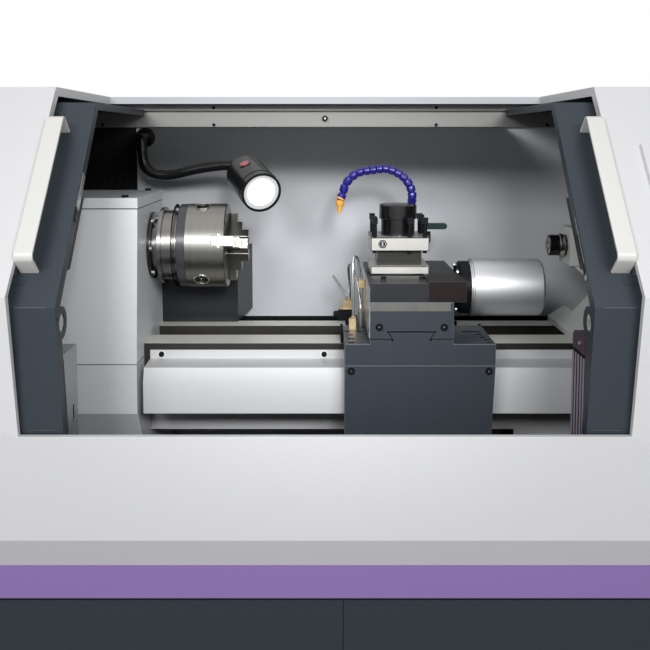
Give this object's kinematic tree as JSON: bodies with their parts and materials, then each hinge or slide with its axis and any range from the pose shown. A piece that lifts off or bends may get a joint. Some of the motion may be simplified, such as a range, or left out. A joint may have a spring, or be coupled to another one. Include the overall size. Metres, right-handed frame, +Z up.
{
  "type": "cnc turning lathe",
  "caption": "Flat-bed CNC lathe in a sheet-metal cabinet with sliding doors, jaw chuck, four-way tool post, tailstock, work lamp and coolant hose.",
  "frame": {"origin": "centre of the bounding box's underside, on the floor", "axes": "+X to the right along the bed, +Y to the rear, +Z up; the operator stands at -Y"},
  "size_m": [2.24, 1.2, 1.444],
  "materials": {
    "base_paint": "dark blue-grey powder coat, satin",
    "foot_steel": "turned steel feet",
    "stripe_paint": "light violet paint, satin",
    "cabinet_paint": "light grey-white powder coat, satin",
    "inner_paint": "light grey sheet paint",
    "rail_zinc": "zinc-plated folded sheet",
    "tray_paint": "dark grey paint",
    "door_paint": "anthracite powder coat, satin",
    "handle_paint": "cream-white enamel",
    "glass": "clear safety glazing",
    "bed_iron": "ground ways, machined cast iron",
    "head_paint": "grey machine enamel",
    "machine_paint": "dark blue-grey machine enamel",
    "steel": "ground steel",
    "dark_steel": "blackened steel",
    "chuck_steel": "ground and turned steel",
    "alu": "satin anodised aluminium",
    "brass": "brass fittings",
    "copper_pipe": "drawn aluminium tube",
    "hose_plastic": "navy blue moulded plastic",
    "nozzle_plastic": "orange moulded plastic",
    "lever_plastic": "green dipped plastic",
    "lamp_black": "black enamel",
    "panel_plastic": "dark grey membrane panel",
    "red_plastic": "red moulded plastic",
    "black_plastic": "black moulded plastic"
  },
  "bodies": {
    "machine": {"base_cabinet": "base_paint", "levelling_feet": "foot_steel", "stripe_panel": "stripe_paint", "front_shell": "cabinet_paint", "end_covers": "cabinet_paint", "back_wall": "inner_paint", "door_rails": "rail_zinc", "electrical_cabinet": "cabinet_paint", "chip_tray": "tray_paint", "bed": "bed_iron", "bed_cover": "cabinet_paint", "headstock_pedestal": "head_paint", "headstock": "head_paint", "bearing_cover": "steel", "chuck_guard": "head_paint", "feed_servo": "black_plastic", "lamp_arm": "lamp_black", "lamp_head": "lamp_black", "lamp_lens": "glass", "operator_panel": "panel_plastic"},
    "left_door": {"left_door": "door_paint", "left_handle": "handle_paint", "left_door_window": "glass", "left_door_bracket": "rail_zinc"},
    "right_door": {"right_door": "door_paint", "right_handle": "handle_paint", "right_door_window": "glass", "right_door_channel": "rail_zinc"},
    "spindle": {"spindle": "steel", "balance_ring": "dark_steel", "chuck_adapter": "chuck_steel", "chuck_body": "chuck_steel"},
    "jaw_1": {"jaw_1": "chuck_steel"},
    "jaw_2": {"jaw_2": "chuck_steel"},
    "jaw_3": {"jaw_3": "chuck_steel"},
    "pinion_1": {"pinion_1": "chuck_steel"},
    "pinion_2": {"pinion_2": "chuck_steel"},
    "pinion_3": {"pinion_3": "chuck_steel"},
    "feed_screw": {"feed_screw": "steel"},
    "carriage": {"saddle": "machine_paint", "apron": "machine_paint", "oil_manifold": "brass", "oil_pipes": "copper_pipe"},
    "cross_slide": {"cross_slide": "steel", "tool_post_base": "machine_paint", "tool_post_motor": "alu", "coolant_valve": "brass", "coolant_hose": "hose_plastic", "hose_nozzle": "nozzle_plastic"},
    "tool_post": {"tool_holder": "chuck_steel", "tool_clamp_bolts": "dark_steel", "tool_post_cap": "chuck_steel"},
    "valve_lever": {"valve_lever": "lever_plastic"},
    "tailstock": {"tailstock_body": "machine_paint"},
    "quill": {"quill": "steel"},
    "tailstock_wheel": {"tailstock_wheel": "chuck_steel"},
    "quill_lock": {"quill_lock": "steel"},
    "emergency_stop": {"emergency_stop": "red_plastic"},
    "feed_knob": {"feed_knob": "black_plastic"},
    "hand_dial": {"hand_dial": "black_plastic"}
  },
  "joints": [
    {"name": "left_door_slide", "type": "slide", "parent": "machine", "child": "left_door", "axis": [1, 0, 0], "range_m": [0, 0.485]},
    {"name": "right_door_slide", "type": "slide", "parent": "machine", "child": "right_door", "axis": [-1, 0, 0], "range_m": [0, 0.485]},
    {"name": "spindle_turn", "type": "hinge", "parent": "machine", "child": "spindle", "pos_m": [-0.4, -0.035, 1.08], "axis": [1, 0, 0], "continuous": true},
    {"name": "pinion_1_turn", "type": "hinge", "parent": "spindle", "child": "pinion_1", "pos_m": [-0.2885, -0.05839, 1.1565], "axis": [0, -0.2924, 0.9563], "range_deg": [-1220, 1355]},
    {"name": "jaw_1_slide", "type": "slide", "parent": "spindle", "child": "jaw_1", "axis": [0, -0.9744, 0.225], "range_m": [-0.009, 0.01]},
    {"name": "pinion_2_turn", "type": "hinge", "parent": "spindle", "child": "pinion_2", "pos_m": [-0.2885, -0.08956, 1.02149], "axis": [0, -0.682, -0.7314], "range_deg": [-1220, 1355]},
    {"name": "jaw_2_slide", "type": "slide", "parent": "spindle", "child": "jaw_2", "axis": [0, 0.2924, -0.9563], "range_m": [-0.009, 0.01]},
    {"name": "pinion_3_turn", "type": "hinge", "parent": "spindle", "child": "pinion_3", "pos_m": [-0.2885, 0.04295, 1.062], "axis": [0, 0.9744, -0.225], "range_deg": [-1220, 1355]},
    {"name": "jaw_3_slide", "type": "slide", "parent": "spindle", "child": "jaw_3", "axis": [0, 0.682, 0.7314], "range_m": [-0.009, 0.01]},
    {"name": "feed_screw_turn", "type": "hinge", "parent": "machine", "child": "feed_screw", "pos_m": [0, 0.15, 0.79], "axis": [1, 0, 0], "range_deg": [-6760, 3385]},
    {"name": "carriage_slide", "type": "slide", "parent": "machine", "child": "carriage", "axis": [1, 0, 0], "range_m": [-0.15, 0.075]},
    {"name": "cross_slide_feed", "type": "slide", "parent": "carriage", "child": "cross_slide", "axis": [0, 1, 0], "range_m": [-0.12, 0.025]},
    {"name": "tool_post_index", "type": "hinge", "parent": "cross_slide", "child": "tool_post", "pos_m": [0.17, -0.095, 1.06], "axis": [0, 0, 1], "continuous": true},
    {"name": "valve_lever_turn", "type": "hinge", "parent": "cross_slide", "child": "valve_lever", "pos_m": [0.246, 0.04, 1.109], "axis": [0, 0, 1], "range_deg": [0, 90]},
    {"name": "tailstock_slide", "type": "slide", "parent": "machine", "child": "tailstock", "axis": [1, 0, 0], "range_m": [0, 0.2]},
    {"name": "tailstock_wheel_turn", "type": "hinge", "parent": "tailstock", "child": "tailstock_wheel", "pos_m": [0.8, -0.035, 1.08], "axis": [1, 0, 0], "range_deg": [0, 6480]},
    {"name": "quill_feed", "type": "slide", "parent": "tailstock", "child": "quill", "axis": [-1, 0, 0], "range_m": [0, 0.09]},
    {"name": "quill_lock_turn", "type": "hinge", "parent": "tailstock", "child": "quill_lock", "pos_m": [0.62, -0.035, 1.14], "axis": [0, 0, 1], "range_deg": [0, 60]},
    {"name": "emergency_stop_push", "type": "slide", "parent": "machine", "child": "emergency_stop", "axis": [0, 0.7629, -0.6466], "range_m": [0, 0.005], "stiffness_N_per_m": 800},
    {"name": "feed_knob_turn", "type": "hinge", "parent": "machine", "child": "feed_knob", "pos_m": [0.8, -0.53858, 1.12947], "axis": [0, -0.7629, 0.6466], "range_deg": [-135, 135]},
    {"name": "hand_dial_turn", "type": "hinge", "parent": "machine", "child": "hand_dial", "pos_m": [0.96, -0.53858, 1.12947], "axis": [0, -0.7629, 0.6466], "continuous": true}
  ],
  "couplings": [
    {"joint": "jaw_2_slide", "follows": "jaw_1_slide", "ratio": 1},
    {"joint": "jaw_3_slide", "follows": "jaw_1_slide", "ratio": 1},
    {"joint": "pinion_1_turn", "follows": "jaw_1_slide", "rad_per_m": 2353.3},
    {"joint": "pinion_2_turn", "follows": "jaw_1_slide", "rad_per_m": 2353.3},
    {"joint": "pinion_3_turn", "follows": "jaw_1_slide", "rad_per_m": 2353.3},
    {"joint": "feed_screw_turn", "follows": "carriage_slide", "rad_per_m": 785.4},
    {"joint": "quill_feed", "follows": "tailstock_wheel_turn", "m_per_rad": 0.00079577}
  ]
}
